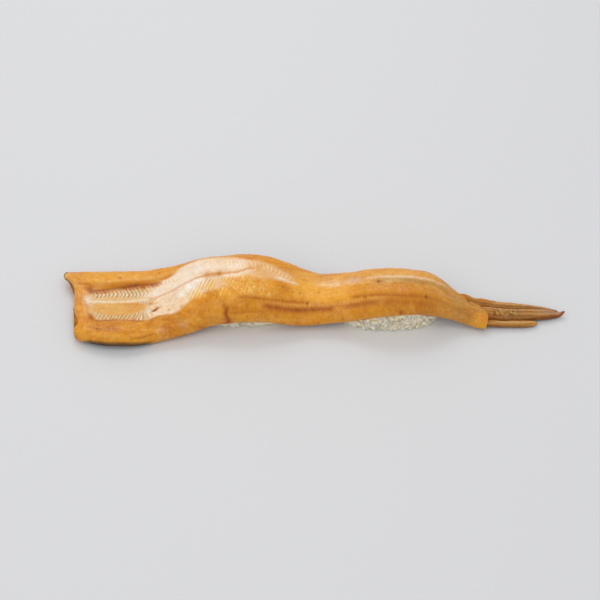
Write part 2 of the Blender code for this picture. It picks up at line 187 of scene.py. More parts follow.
def mottle(u, v, cell, seed):
    """Soft random values from -1 to 1 over cells of this size, on a lattice turned by its seed."""
    lattice = np.random.default_rng(seed).uniform(-1, 1, (LATTICE, LATTICE))
    a = (u * math.cos(seed) - v * math.sin(seed)) / cell
    b = (u * math.sin(seed) + v * math.cos(seed)) / cell
    i = np.floor(a).astype(int)
    j = np.floor(b).astype(int)
    p = rise(a - i)
    q = rise(b - j)

    def corner(right, up):
        return lattice[(i + right) % LATTICE, (j + up) % LATTICE]

    low = corner(0, 0) * (1 - p) + corner(1, 0) * p
    high = corner(0, 1) * (1 - p) + corner(1, 1) * p
    return low * (1 - q) + high * q


def blotches(u, v, cell, seed):
    """The same as shares from 0 to 1."""
    return 0.5 + 0.5 * mottle(u, v, cell, seed)


def network(u, v, cell, seed):
    """A web of thin wandering lines, 1 on them."""
    bend = 0.7 * cell * mottle(u, v, cell, seed + 1)
    return np.clip(1 - 3.4 * abs(mottle(u + bend, v - bend, cell, seed)), 0, 1)


def widths(x, side):
    """The width from the line of the backbone to the edge on this side."""
    return np.where(side < 0, along(FRONT_WIDTH, x), along(BACK_WIDTH, x))


def section_curves(x, side):
    """(y, z, tilt) of the skin side at each station and share of the width, -1 at the front edge."""
    fine = np.linspace(-1, 1, SECTION_STEPS + 1)[None, :]
    droop = np.where(fine < 0, along(FRONT_DROOP, x), -along(BACK_DROOP, x))
    tilt = np.radians(along(TILT, x) + droop * abs(fine) ** DROOP_POWER)
    width = widths(x, fine)
    step = np.diff(fine) * (width[:, 1:] + width[:, :-1]) / 2
    turn = (tilt[:, 1:] + tilt[:, :-1]) / 2
    y = np.pad(np.cumsum(np.cos(turn) * step, 1), ((0, 0), (1, 0)))
    z = np.pad(np.cumsum(np.sin(turn) * step, 1), ((0, 0), (1, 0)))
    middle = SECTION_STEPS // 2
    y += along(LINE_Y, x) - y[:, middle:middle + 1]
    z += along(LIFT, x) - z[:, middle:middle + 1]
    at = (side[0] + 1) * middle
    i = np.clip(np.floor(at).astype(int), 0, SECTION_STEPS - 1)
    t = at - i
    return tuple(grid[:, i] * (1 - t) + grid[:, i + 1] * t for grid in (y, z, tilt))


# The muscle's lines are placed by x along the fillet, and s across it from the line of the backbone,
# negative to the front.
SPINE = (
    (-119, -1.7), (-112, -1.2), (-104, -1.2), (-96, -1.8), (-91, -2.4), (-86, -3.0), (-80, -2.4),
    (-74, -1.9), (-67, 0.1), (-60, 1.2), (-54, 1.3), (-45, 1.4), (-40, 1.7), (-35, 3.0), (-29, 4.0),
)
CREASE = (
    (-125, 9.2), (-119, 6.8), (-112, 7.7), (-106, 8.8), (-100, 9.2), (-95, 9.1), (-89, 8.4),
    (-84, 7.4), (-78, 7.1), (-74, 7.3), (-70, 8.7), (-62, 9.4),
)
TIPS = (
    (-119, 2.9), (-116, 3.0), (-113, 3.8), (-108, 4.3), (-104, 4.0), (-99, 3.1), (-95, 2.5),
    (-90, 2.1), (-80, 2.6),
)
PALE_TOP = (
    (-119, 6.4), (-112, 7.4), (-105, 8.6), (-97, 8.8), (-89, 8.0), (-84, 7.0), (-78, 6.8), (-70, 8.5),
    (-62, 9.2), (-55, 9.3), (-50, 8.6), (-43, 7.6), (-37, 7.1), (-33, 6.6), (-29, 6.4), (-23, 5.6),
    (-16, 4.1), (-11, 2.8), (-9, 1.2),
)
PALE_LOW = (
    (-119, -13.4), (-111, -13.9), (-105, -13.6), (-97, -15.2), (-90, -16.6), (-83, -14.6),
    (-77, -14.5), (-72, -13.2), (-68, -10.4), (-65, -8.2), (-61, -6.4), (-56, -5.0), (-49, -3.6),
    (-45, -2.7), (-41, -1.6), (-31, -1.2), (-23, 0.0), (-9, 0.4),
)
TONGUE_TOP = (
    (-118, -4.0), (-116, -3.4), (-112, -2.5), (-104, -2.1), (-97, -2.7), (-94, -3.6), (-90, -5.6),
    (-88, -7.4),
)
TONGUE_LOW = (
    (-118, -8.0), (-116, -8.8), (-111, -10.2), (-104, -10.8), (-97, -10.8), (-92, -9.8), (-90, -8.9),
    (-88, -7.6),
)
TONGUE_TIP = (-91, -7.5)
SEAM = (
    (-121, -13.4), (-116, -14.6), (-111, -14.1), (-105, -13.9), (-97, -15.4), (-94, -16.0),
    (-89, -17.2),
)
BEADS = (
    (-24, -10.4), (-17, -10.0), (-9, -9.3), (-1, -8.5), (7, -8.2), (18, -7.4), (25, -6.9), (37, -6.2),
    (53, -5.1),
)
GREY_STRIP = (
    (28, 0.4), (34, 0.6), (40, 1.1), (51, 1.4), (58, 1.7), (64, 2.0), (68, 1.7), (71, 0.2),
    (75, -1.8), (80, -3.6),
)
# The run of the painted sheen along the crest of the second wave.
SHEEN_STRIP = ((24, 1.9), (36, 2.3), (48, 2.8), (58, 3.3), (64, 3.4), (69, 3.0), (76, 1.8))
UPPER_FLANK = (
    (20, -6.0), (36, -5.5), (45, -5.2), (58, -4.4), (66, -4.4), (72, -5.0), (79, -6.4), (87, -7.8),
)
OVER_BEADS = ((-42, -9.2), (-31, -9.6), (-20, -9.4), (-9, -8.2), (0, -7.4))
SLIT_AT = (-84.3, -10.4)
SLIT_SLOPE = 1.6
BAR_AT = (-46.2, -14.8)
RIM = (-135, -121, 1.6)
RIM_GROOVE_X = -119.6
# Distances from one row, bead, stripe or feather of muscle to the next, how the rows slant, and how many
# would stand round the whole of the tongue's tip.
ROW_PITCH = 2.06
FINE_ROW_PITCH = 1.4
BEAD_PITCH = 1.6
FEATHER_PITCH = 1.35
FAINT_PITCH = 1.5
STRIPE_PITCH = 3.6
STRAND_PITCH = 1.7
ROW_SLANT = 0.5
TIP_ROWS = 19


def tone(red, green, blue):
    """A colour as the eye sees it, from 0 to 255, as linear light."""
    shown = np.array([red, green, blue]) / 255
    return np.where(shown <= 0.04045, shown / 12.92, ((shown + 0.055) / 1.055) ** 2.4)


GOLD = tone(235, 166, 30)
AMBER = tone(227, 147, 18)
OCHRE = tone(216, 142, 10)
HONEY = tone(226, 164, 76)
APRICOT = tone(236, 178, 92)
WHEAT = tone(248, 184, 66)
BUTTER = tone(255, 228, 140)
CREAM = tone(249, 225, 196)
MILK = tone(255, 246, 230)
GLINT_WHITE = tone(255, 254, 248)
SALMON = tone(216, 130, 36)
BLUSH = tone(222, 116, 54)
SIENNA = tone(190, 106, 10)
RUST = tone(164, 76, 10)
BARK = tone(118, 52, 2)
SKIN_AND_SHADE_BLACK = tone(46, 26, 4)
SAND = tone(218, 174, 96)
DUN = tone(186, 142, 66)
TAWNY = tone(225, 166, 68)
SILVER = tone(180, 147, 88)
SKIN = tone(112, 92, 68)
SKIN_DARK = tone(64, 50, 38)
FIN = tone(193, 139, 60)


def shifted(run, by):
    """The same run, moved across the fillet."""
    return tuple((x, s + by) for x, s in run)


# Each line: its run, half width, height above the flesh, (start, end, fade) along x, colour, strength.
LINES = {
    "midline": (SPINE, 0.55, 0.25, (-119, -90, 4), MILK, 0.75),
    "split along the midline": (SPINE, 0.6, -0.18, (-87, -33, 2), SALMON, 0.66),
    "pale band under it": (shifted(SPINE, -1.6), 0.9, 0.1, (-64, -36, 6), MILK, 0.55),
    # A painted highlight along the lip of the back ridge.
    "painted highlight on the lip": (shifted(CREASE, 2.2), 0.9, 0.12, (-116, -76, 6), APRICOT, 0.85),
    "shade under the lip": (shifted(CREASE, 1.0), 0.6, -0.05, (-118, -76, 5), SALMON, 0.3),
    "shade in the crease": (shifted(CREASE, -0.6), 0.85, 0.0, (-119, -85, 5), RUST, 0.7),
    "crease under the back ridge": (shifted(CREASE, -0.65), 0.42, -0.16, (-119, -88, 5), BARK, 0.85),
    "its dark part": (shifted(CREASE, -0.55), 0.4, -0.1, (-115, -103, 4), BARK, 0.6),
    "crease at the cut end": (((-128, 9.9), (-120, 9.2)), 0.5, -0.12, (-126, -121, 2), RUST, 0.65),
    "fringe in the crease": (shifted(CREASE, -0.9), 0.35, 0.1, (-121, -106, 3), CREAM, 0.5),
    "seam over the front ridge": (SEAM, 0.45, -0.12, (-119, -91, 3), RUST, 0.8),
    "streak on the front ridge": (
        ((-121, -19.6), (-116, -21.4), (-113, -22.8)), 0.6, -0.08, (-119, -113, 2), RUST, 0.55),
    "fold on the front ridge": (
        ((-96, -27.6), (-91, -27.0), (-85, -25.4)), 0.45, -0.12, (-94, -86, 3), RUST, 0.5),
    "row of beads": (BEADS, 0.55, 0.18, (-20, 10, 8), APRICOT, 0.35),
    "groove over the beads": (OVER_BEADS, 0.45, -0.26, (-38, -8, 5), RUST, 0.55),
    "groove under the beads": (shifted(BEADS, -1.35), 0.85, -0.28, (-24, 7, 5), RUST, 0.92),
    "groove under the next beads": (shifted(BEADS, -1.35), 0.65, -0.16, (17, 30, 3), RUST, 0.66),
    "its faint end": (shifted(BEADS, -1.2), 0.8, -0.12, (18, 60, 6), RUST, 0.42),
    "upper flank line": (UPPER_FLANK, 0.42, -0.16, (22, 85, 6), RUST, 0.62),
    "soft line over it": (
        ((14, -3.2), (21, -3.5), (33, -4.3), (44, -3.6)), 0.6, -0.08, (18, 38, 5), AMBER, 0.6),
    "flank crease": (((-46, -14.2), (-33, -13.9), (-24, -13.6)), 0.4, -0.14, (-43, -28, 3), RUST, 0.4),
    "second flank crease": (
        ((-60, -17.0), (-52, -16.2), (-46, -16.4)), 0.5, -0.1, (-58, -47, 3), RUST, 0.25),
    "grey strip": (GREY_STRIP, 1.05, 0.1, (33, 76, 4), SILVER, 0.85),
    # A painted sheen along the crest over the grey strip.
    "painted sheen over it": (SHEEN_STRIP, 0.45, 0.08, (30, 73, 6), CREAM, 0.7),
    "back line": (((30, 5.4), (44, 5.4), (60, 5.2), (74, 4.2)), 0.5, -0.1, (34, 70, 6), AMBER, 0.6),
    "tail line": (
        ((62, 1.6), (66, 1.2), (74, -1.2), (80, -3.3), (87, -4.6)), 0.4, -0.12, (68, 92, 4), BARK, 0.3),
    "second tail line": (
        ((62, 4.6), (70, 4.2), (77, 2.6), (84, 1.0), (92, -0.8)), 0.4, -0.12, (69, 92, 4), BARK, 0.32),
    "third tail line": (
        ((60, -1.6), (70, -3.0), (80, -5.2), (90, -7.2)), 0.5, -0.12, (66, 90, 5), BARK, 0.16),
}
BEADED_LINES = ("row of beads", "fringe in the crease")
BROKEN_LINES = ("seam over the front ridge",)
# A line whose red, green and blue together are less than this is dark, and gets an ochre rim.
DARK_LINE = 0.5
# Painted shade in the crease under the back ridge, as dark wedges: (start, end, depth, strength).
CREASE_SHADE_WEDGES = ((-121, -113, 2.6, 0.55), (-99, -84, 2.4, 0.6))


def markings(x, s):
    """The rows of muscle and other broad markings on the cut side, as shares from 0 to 1."""
    spine = along(SPINE, x)
    crease = along(CREASE, x)
    tips = along(TIPS, x)
    pale_top = along(PALE_TOP, x)
    pale_low = along(PALE_LOW, x)
    tongue_low = along(TONGUE_LOW, x)
    wander = 0.34 * mottle(x, s, 6.0, 3) + 0.2 * mottle(x, s, 2.2, 4)
    behind = s > spine + 0.5

    # The crests of the rows: slanted, closer together before the first wave, and fanned round the tip.
    at = x + ROW_SLANT * np.where(behind, abs(s - tips) - 6, -s) + wander
    fine_rows = between(x, -86, -70, 4) * (1 - behind)
    crest = waves(at, ROW_PITCH) ** 2.0 * (1 - fine_rows) + waves(at, FINE_ROW_PITCH) ** 1.6 * fine_rows
    turn = np.arctan2(s - TONGUE_TIP[1], x - TONGUE_TIP[0])
    crest_tip = waves(turn * TIP_ROWS + wander, 2 * math.pi) ** 2.0

    # Where there are rows: behind the backbone, under the tongue, on the flank and round the tip.
    back_low = np.where(x < -86, tips - 1.5, crease - 3.4)
    back_rows = between(s, back_low, crease - 0.9, 0.6) * between(x, -116, -76, 3)
    back_rows = back_rows * (1 - 0.45 * rise((x + 94) / 4))
    low_rows = between(s, along(SEAM, x) + 0.7, tongue_low, 0.6) * between(x, -114, -92, 3)
    flank_low = np.where(x < -67, pale_low + 0.4, -9.6 + 0.07 * (x + 67))
    flank_rows = between(s, flank_low, along(SPINE, np.minimum(x, -42)) - 2.2, 0.8)
    flank_rows = flank_rows * between(x, -84, -36, 5) * (0.5 + 0.5 * rise((x + 76) / 8))
    off_tip = np.hypot(s - TONGUE_TIP[1], x - TONGUE_TIP[0])
    tip_rows = between(off_tip, 3.0, 8.0, 0.8) * rise((x + 93) / 1.5)
    tip_rows = tip_rows * rise(spine - s) * rise((-80 - x) / 3)
    fringe = between(s, pale_top - 2.2, pale_top - 0.2, 0.6) * between(x, -46, -14, 4)
    rows = np.clip(back_rows + low_rows + flank_rows * (1 - tip_rows) + 0.6 * fringe + tip_rows, 0, 1)

    tongue = rise((along(TONGUE_TOP, x) - s) / 1.2 + 0.5) * rise((s - tongue_low) / 1.2 + 0.5)
    tongue = tongue * between(x, -116.5, -90, 2.0)
    golden = rise((pale_low + 3.2 - s) / 3) * rise((x + 80) / 8)
    golden = np.maximum(golden, rise((x + 58) / 14) * rise((-0.5 - s) / 1.5))
    broken = rise(1.4 + mottle(x, s, 3.4, 13) - 0.6 * golden)
    feather = between(s, pale_top + 0.4, pale_top + 2.8, 0.6) * between(x, -80, -14, 6)
    pale_fade = 0.9 + rise((x + 56) / 12) + 1.8 * between(x, -72, -46, 8)
    rim = between(x, *RIM)
    off_groove = x - RIM_GROOVE_X + 1.3 * mottle(x * 0, s, 4.0, 8)
    off_slit = x - SLIT_AT[0] - SLIT_SLOPE * (s - SLIT_AT[1])
    off_bar = x - BAR_AT[0] + 0.22 * (s - BAR_AT[1]) + 0.4 * np.sin(1.6 * s)
    return {
        "crest": crest * (1 - tip_rows) + crest_tip * tip_rows,
        "rows": rows * broken * (1 - tongue),
        "golden": golden,
        "feather": feather * waves(x + wander, FEATHER_PITCH),
        "tips": streak(s - tips, 0.6) * between(x, -116, -86, 2),
        "tongue": tongue,
        "faint": waves(x + 0.7 * s, FAINT_PITCH) * tongue * between(x, -116, -102, 4),
        "wrinkled": between(x, -43, -26, 4) * between(s, -8.2, -1.8, 1.2),
        "network": network(x + 0.4 * s, s, 2.0, 11),
        "stripes": (2 * waves(x + 1.1 * mottle(x, s, 6.0, 35), STRIPE_PITCH) - 1) * rim,
        "rim_groove": streak(off_groove, 1.3) * between(s, -14, 8, 2),
        "rim": rim,
        "pale": between(s, pale_low, pale_top, pale_fade) * between(x, -117, -16, 8),
        "slit": streak(off_slit, 0.9) * between(s, -11.0, -9.8, 0.4),
        "slit_rim": streak(off_slit, 1.9) * between(s, -11.2, -9.6, 0.8),
        "bar": streak(off_bar, 1.2 + 0.5 * rise((-14 - s) / 2)) * between(s, -18.0, -12.7, 0.8),
    }


def relief(x, s, marks):
    """The fine relief of the cut side."""
    broken = 0.6 + 0.4 * mottle(x, s, 3.0, 12)
    height = 0.24 * marks["rows"] * (marks["crest"] - 0.4) * broken + 0.08 * marks["feather"]
    height += marks["wrinkled"] * (0.26 * marks["network"] + 0.16 * mottle(x, s, 1.5, 14))
    height += 0.2 * marks["tongue"] - 0.16 * marks["rim_groove"]
    height -= 0.7 * marks["slit"] + 0.25 * marks["bar"]
    for name, (run, width, tall, reach, _, _) in LINES.items():
        beads = 0.1 + 0.9 * waves(x, BEAD_PITCH) if name in BEADED_LINES else 1
        height += tall * streak(s - along(run, x), width) * between(x, *reach) * beads
    strands = np.sin(2 * math.pi * (s / STRAND_PITCH + 1.2 * mottle(x, s, 18.0, 21)))
    height += 0.09 * strands * blotches(x, s, 9.0, 22) * between(x, 12, 95, 14) * rise((s + 10) / 6)
    height += 0.07 * marks["stripes"]
    height += 0.4 * mottle(x, s, 7.5, 31) + 0.22 * mottle(x, s, 3.1, 32) + 0.16 * mottle(x, s, 1.3, 33)
    return height


def end_share(x, end, radius):
    """How much of the full thickness is left near an end, which is rounded over."""
    t = np.clip(abs(x - end) / radius, 0, 1)
    return END_LEAST + (1 - END_LEAST) * np.sqrt(1 - (1 - t) ** 2)


def ridge_share(x, side, start, full):
    """0 where the ridge starts, 1 from where it is full."""
    return rise((side - along(start, x)) / (along(full, x) - along(start, x)))


def skins(x, side):
    """The cut side and the skin side over a grid of stations and shares of the width, and its s."""
    y, z, tilt = section_curves(x, side)
    width = widths(x, side)
    s = side * width
    front = ridge_share(x, -side, FRONT_RIDGE_START, FRONT_RIDGE_FULL)
    back = ridge_share(x, side, BACK_RIDGE_START, BACK_RIDGE_FULL)
    trough = along(TROUGH, x)
    full = trough + front * (along(FRONT_RIDGE, x) - trough) + back * (along(BACK_RIDGE, x) - trough)
    full = full + relief(x, s, markings(x, s))
    round_edge = np.sqrt(np.clip(1 - abs(side) ** (2 * width / EDGE_RADIUS), 0, 1))
    under = UNDER_SHARE * np.where(side < 0, along(FRONT_RIDGE, x), along(BACK_RIDGE, x))
    under = under * rise((abs(side) - 0.2) / 0.6)
    share = end_share(x, CUT_END_X, CUT_RADIUS) * end_share(x, FLAP_END_X, FLAP_RADIUS)
    closing = END_MEETS * (1 - share)
    top = under + (full - under) * (closing + round_edge * share)
    bottom = under * (1 - round_edge) + (full - under) * closing
    curl = rise((CUT_END_X - x) / CUT_LIFT_REACH + CUT_LIFT_FULL)
    bottom = bottom + along(CUT_LIFT, side) * round_edge * curl
    out = along(FLAP_OUTLINE, side) * streak(x - FLAP_END_X, FLAP_OUTLINE_REACH)
    out = out - along(CUT_OUTLINE, side) * streak(x - CUT_END_X, CUT_OUTLINE_REACH)

    def raised(height):
        return np.stack([x + out, y - np.sin(tilt) * height, z + np.cos(tilt) * height], 2)

    return raised(top), np.maximum(raised(bottom), (-np.inf, -np.inf, 0)), s


def rolled_body(name, rings, colours):
    """A closed body from a grid of points, with the colour of each: a flat grid, rolled up and capped."""
    stations, around = rings.shape[:2]
    bpy.ops.object.select_all(action="DESELECT")
    bpy.ops.mesh.primitive_grid_add(x_subdivisions=stations - 1, y_subdivisions=around, size=2)
    made = bpy.context.object
    made.name = made.data.name = name
    flat = np.zeros(len(made.data.vertices) * 3)
    made.data.vertices.foreach_get("co", flat)
    flat = flat.reshape(-1, 3)
    station = np.rint((flat[:, 0] + 1) / 2 * (stations - 1)).astype(int)
    place = np.rint((flat[:, 1] + 1) / 2 * around).astype(int) % around
    made.data.vertices.foreach_set("co", (rings[station, place] * MM).ravel())
    layer = made.data.attributes.new("flesh", "FLOAT_COLOR", "POINT")
    painted = np.pad(colours, ((0, 0), (0, 0), (0, 1)), constant_values=1)
    layer.data.foreach_set("color", painted[station, place].ravel())

    # The seam is welded, the open ends are capped, and all faces are turned outwards.
    bpy.ops.object.mode_set(mode="EDIT")
    bpy.ops.mesh.select_all(action="SELECT")
    bpy.ops.mesh.remove_doubles(threshold=0.002 * MM)
    bpy.ops.mesh.select_all(action="DESELECT")
    bpy.ops.mesh.select_non_manifold(
        extend=False, use_wire=False, use_multi_face=False, use_non_contiguous=False, use_verts=False)
    bpy.ops.mesh.fill_holes(sides=0)
    bpy.ops.mesh.select_all(action="SELECT")
    bpy.ops.mesh.normals_make_consistent(inside=False)
    bpy.ops.object.mode_set(mode="OBJECT")
    bpy.ops.object.shade_smooth()
    return made


# Small marks on the cut side: (x, s, radius, strength, darkness), ochre, and brown where they are dark.
SPOTS = (
    (-113, -22.9, 1.1, 0.6, 0.4), (-104, -23.4, 1.0, 0.5, 0.3), (-104, 13.4, 0.7, 0.6, 0.6),
    (-50.6, 1.5, 1.4, 0.95, 0.3), (-56.8, 1.5, 1.6, 0.7, 0.05), (-53.8, 1.3, 1.0, 0.5, 0.05),
    (-30.0, 4.2, 1.8, 0.35, 0.0), (-34.0, 4.4, 1.2, 0.3, 0.0), (-4.2, -7.8, 0.55, 1.0, 0.9),
    (33.0, 0.2, 0.9, 0.9, 0.8), (26.0, -6.2, 0.7, 0.8, 0.6), (57.6, -4.3, 0.7, 0.8, 0.8),
    (-47.5, -12.0, 0.7, 0.7, 0.4), (-17.0, -3.1, 0.5, 0.7, 0.6), (-8.0, -4.0, 0.5, 0.6, 0.5),
    (56.6, 0.9, 0.9, 0.4, 0.3), (-17.0, -8.6, 0.45, 0.7, 0.6), (-12.0, -4.6, 0.4, 0.6, 0.5),
    (2.0, -2.6, 0.4, 0.6, 0.5), (44.5, -9.7, 0.8, 0.8, 0.7), (46.4, -10.2, 0.6, 0.7, 0.5),
    (-83.0, 12.4, 0.6, 0.5, 0.4), (-66.0, -15.0, 0.8, 0.5, 0.3), (-92.0, 7.0, 1.2, 0.7, 0.6),
    (-118.6, -12.6, 1.3, 0.7, 0.5), (-90.8, 5.4, 0.8, 0.5, 0.4), (-87.0, -5.6, 0.8, 0.7, 0.4),
    (-77.0, -12.6, 0.6, 0.5, 0.3), (-70.0, -12.6, 0.6, 0.5, 0.3), (-114.4, -22.2, 0.8, 0.8, 0.8),
    (-108.2, -22.4, 0.7, 0.7, 0.6), (-105.4, -22.6, 0.6, 0.7, 0.6),
)
# Wet glints as painted highlights, small soft near-white patches: (x, s, half length, half width,
# strength).
GLINTS = (
    (-70.5, -5.6, 2.2, 2.4, 0.8), (-66, -2.9, 3.4, 2.2, 1.0), (-61, -0.9, 2.4, 1.0, 0.9),
    (-18, 0.9, 2.6, 0.6, 0.8), (-12, 0.6, 3.0, 0.5, 0.6), (-120.8, -0.8, 2.0, 3.0, 0.7),
    (-81, -23.4, 2.6, 1.5, 0.15), (-69, -20.4, 2.6, 1.2, 0.15), (11, 1.7, 4.0, 1.5, 0.34),
    (20, 1.8, 4.6, 1.2, 0.38), (4, 2.0, 3.8, 1.4, 0.24), (-58, 5.5, 9.0, 2.4, 0.35),
    (-44, 5.4, 8.0, 1.6, 0.3), (-87, 0.2, 5.0, 1.4, 0.45), (-88, -10.4, 2.4, 1.8, 0.35),
)


def painter(base, shape):
    """A coat of one colour, and the brush that lays others over it by their shares."""
    coat = np.broadcast_to(base, shape + (3,)).copy()

    def over(new, share):
        share = np.broadcast_to(np.clip(share, 0, 1), shape)[..., None]
        coat[:] = coat * (1 - share) + new * share

    return coat, over


def flesh_colours(x, s, side, marks):
    """The colour of the cut side at each point."""
    colour, over = painter(GOLD, s.shape)
    patches = blotches(x, s, 5.0, 41)
    fine = blotches(x, s, 1.3, 42)
    rows = marks["rows"]
    crest = marks["crest"]
    golden = marks["golden"][..., None]
    pale = marks["pale"]

    def tint(new, strength, s_run, x_run, steady=1.0):
        """Lays a colour over one place, with its fades. The share that isn't steady is patchy."""
        over(new, strength * between(s, *s_run) * between(x, *x_run) * (steady + (1 - steady) * patches))

    # The broad tones of the ridges, the flank and the dip.
    over(AMBER, 0.8 * patches)
    over(OCHRE, 0.6 * rise((-side - 0.42) / 0.2) * rise((x + 86) / 20) * (0.75 + 0.25 * fine))
    tint(OCHRE, 0.6, (-22.0, -15, 2), (-122, -74, 6), 0.5)
    smears = rise(0.4 + mottle(x, 2 * s, 6.0, 43))
    over(SIENNA, 0.6 * between(s, -23.5, -17, 2) * between(x, -118, -88, 5) * smears)
    over(GOLD, 0.6 * rise((-s - 21.5) / 2.5) * rise((-70 - x) / 20))
    over(GOLD, 0.6 * rise((-s - 17) / 3) * rise((-119 - x) / 3))
    tint(OCHRE, 0.85, (-9, -1.5, 1.5), (30, 64, 9), 0.6)
    tint(OCHRE, 0.6, (-9, -3, 1.5), (-30, 0, 6), 0.4)
    tint(APRICOT, 0.6, (0.2, 6.0, 1.8), (-18, 62, 12))
    tint(RUST, 0.3, (-8.8, -5.6, 1.2), (40, 66, 8), 0.5)
    tint(RUST, 0.16, (-4.5, -0.5, 1.5), (32, 60, 8))
    broad = mottle(x, 1.6 * s, 11.0, 47)
    over(HONEY, 0.34 * rise(1.6 * broad - 0.1))
    over(RUST, 0.2 * rise(-1.6 * broad - 0.1))
    over(RUST, 0.18 * rise(-2 * mottle(x, s, 3.4, 48) - 0.1) * rise((-s - 7) / 3))
    speckle = 0.8 * mottle(x, 1.3 * s, 0.9, 61) + 0.2 * mottle(x, 1.5 * s, 2.1, 62)
    fibres = mottle(0.22 * x, s, 1.3, 63)
    over(APRICOT, 0.24 * rise(2.4 * speckle - 0.2) + 0.2 * rise(2 * fibres - 0.3))
    over(SIENNA, 0.2 * rise(-2.4 * speckle - 0.2) + 0.24 * rise(-2 * fibres - 0.3))
    over(SALMON, 0.35 * rise((side - 0.45) / 0.3) * fine)
    tint(WHEAT, 0.4, (10.5, 18, 2), (-122, -78, 8), 0.4)
    over(SALMON, 0.3 * rise((side - 0.8) / 0.15))
    tint(WHEAT, 0.6, (-6, 2, 2), (-8, 14, 8))
    tint(RUST, 0.16, (-7.5, -2.5, 1.5), (-16, -7, 4), 0.4)
    over(SALMON, 0.35 * marks["feather"])

    # The trough, the pale flesh along the backbone, the tongue and the rows.
    tint(SAND, 0.9, (-13.5, 7, 1.2), (-118, -86, 4))
    pale_start = 0.32 + 0.68 * rise((x + 96) / 16)
    pale_end = rise((x + 42) / 16)
    over(CREAM, pale * (0.76 + 0.12 * patches) * pale_start * (1 - 0.42 * pale_end))
    over(APRICOT, 0.36 * pale * rise((x + 68) / 12))
    # Whiter still where the first wave rises: painted sheen over the pale flesh.
    over(MILK, 0.5 * pale * between(x, -80, -62, 9) * fine)
    behind = rise((s - along(SPINE, x)) / 1.5)
    over(MILK, 0.28 * pale * between(x, -82, -22, 8) * behind * (1 - pale_end))
    over(TAWNY, 0.92 * marks["tongue"] * (1 - 0.3 * marks["faint"]))
    over(SALMON, 0.4 * marks["tongue"] * rise((x + 104) / 10) * rise((s - along(TONGUE_LOW, x)) / 6))
    over(GOLD, 0.55 * rows * (1 - crest) * (1 - 0.5 * between(x, -119, -88, 4)))
    over(DUN, 0.75 * rows * (1 - crest) * rise((-86 - x) / 4))
    worn = 0.3 + 0.7 * rise(1.8 * fine - 0.2) * rise(1.8 * patches + 0.1)
    worn = worn * (1 - 0.35 * rise((-78 - x) / 6))
    over(MILK * (1 - golden) + BUTTER * golden, 0.8 * rows * crest * worn)
    # White at the tips of the rows: the pale flesh there, brightened by painted glints.
    over(MILK, 0.7 * marks["tips"] * crest)
    tint(WHEAT, 0.55, (-9, -1.5, 1.5), (-46, -24, 5), 0.4)
    over(BUTTER, 0.38 * marks["wrinkled"] * marks["network"])
    over(SALMON, 0.35 * marks["wrinkled"] * (1 - marks["network"]) * patches)

    # The lines, the beads, and the rim, painted shade wedges, slit and bar.
    for name, (run, width, _, reach, new, strength) in LINES.items():
        off_line = s - along(run, x)
        drawn = strength * between(x, *reach)
        if new.sum() < DARK_LINE:
            over(OCHRE, drawn * streak(off_line, width * 2.2))
        broken = rise(patches * 2.6 - 0.2) if name in BROKEN_LINES else 0.65 + 0.35 * fine
        over(new, drawn * streak(off_line, width * 1.1) * broken)
    beads = rise(2.4 * waves(x + 0.7 * mottle(x, s, 2.6, 49), BEAD_PITCH) - 0.7)
    off_beads = s - along(BEADS, x)
    runs = between(x, -20, 2, 8) + between(x, 14, 30, 5)
    over(APRICOT, 0.42 * streak(off_beads, 0.6) * runs * beads * (0.4 + 0.6 * patches))
    over(CREAM, 0.14 * streak(off_beads, 0.4) * between(x, -20, 8, 8) * beads * patches)
    over(APRICOT, 0.35 * streak(off_beads, 0.5) * between(x, 14, 34, 6) * beads)
    over(SALMON, 0.25 * rise(-marks["stripes"]))
    over(SALMON, 0.3 * marks["rim"] * (1 - patches))
    over(APRICOT, 0.3 * marks["rim"] * patches * rise((s + 14) / 3))
    crease = along(CREASE, x)
    # Painted shade: the dark wedges under the lip of the back ridge.
    for start, end, deep, strength in CREASE_SHADE_WEDGES:
        wedge = between(s, crease - deep, crease - 0.4, 0.9) * between(x, start, end, 4)
        over(RUST, strength * wedge * (0.6 + 0.4 * (1 - crest)))
    over(RUST, 0.55 * marks["rim_groove"] * (between(s, 4, 9.5, 2) + between(s, -19, -11, 2)))
    over(OCHRE, 0.8 * marks["slit_rim"])
    over(RUST, marks["slit"])
    over(APRICOT, 0.85 * rise((-125.0 - x) / 2) * between(s, 9, 19, 2))
    over(BARK, 0.9 * marks["slit"])
    over(RUST, 0.95 * marks["bar"])

    # The brown flesh of the tail, the spots, the painted glints, and the edges.
    over(FIN, 0.9 * rise((x - 52) / 26) * (0.7 + 0.3 * patches))
    over(RUST, 0.26 * rise((x - 64) / 10) * rise(3 * mottle(x, 3 * s, 7.0, 44)) * rise((s + 9) / 3))
    flecks = rise(3 * mottle(x, s, 0.9, 46))
    over(HONEY, 0.45 * between(x, 72, 86, 3) * between(s, 1.0, 4.6, 1.0) * flecks)
    over(GOLD, 0.6 * rise((x - 80) / 8) * rise((-3.5 - s) / 3))
    tint(BLUSH, 0.6, (-8.2, -5.8, 1.2), (89.0, 95, 1.8), 0.4)
    for spot_x, spot_s, radius, strength, darkness in SPOTS:
        away = ((x - spot_x) ** 2 + (s - spot_s) ** 2) / radius ** 2
        over(OCHRE, strength * np.exp(-away / 2.2))
        over(RUST, darkness * np.exp(-away))
        over(BARK, darkness ** 2 * np.exp(-2 * away))
    # Painted highlights: the wet glints, laid on in near white.
    for spot_x, spot_s, long, wide, strength in GLINTS:
        over(GLINT_WHITE, strength * streak(x - spot_x, long) * streak(s - spot_s, wide) * (0.6 + 0.4 * fine))
    over(RUST, 0.3 * rise((side - 0.97) / 0.025))
    over(APRICOT, 0.3 * between(x, 22, 56, 8) * rise((s - 4.5) / 1.5))
    over(RUST, 0.4 * between(x, 54, 80, 6) * rise((s - 6.8) / 0.8))
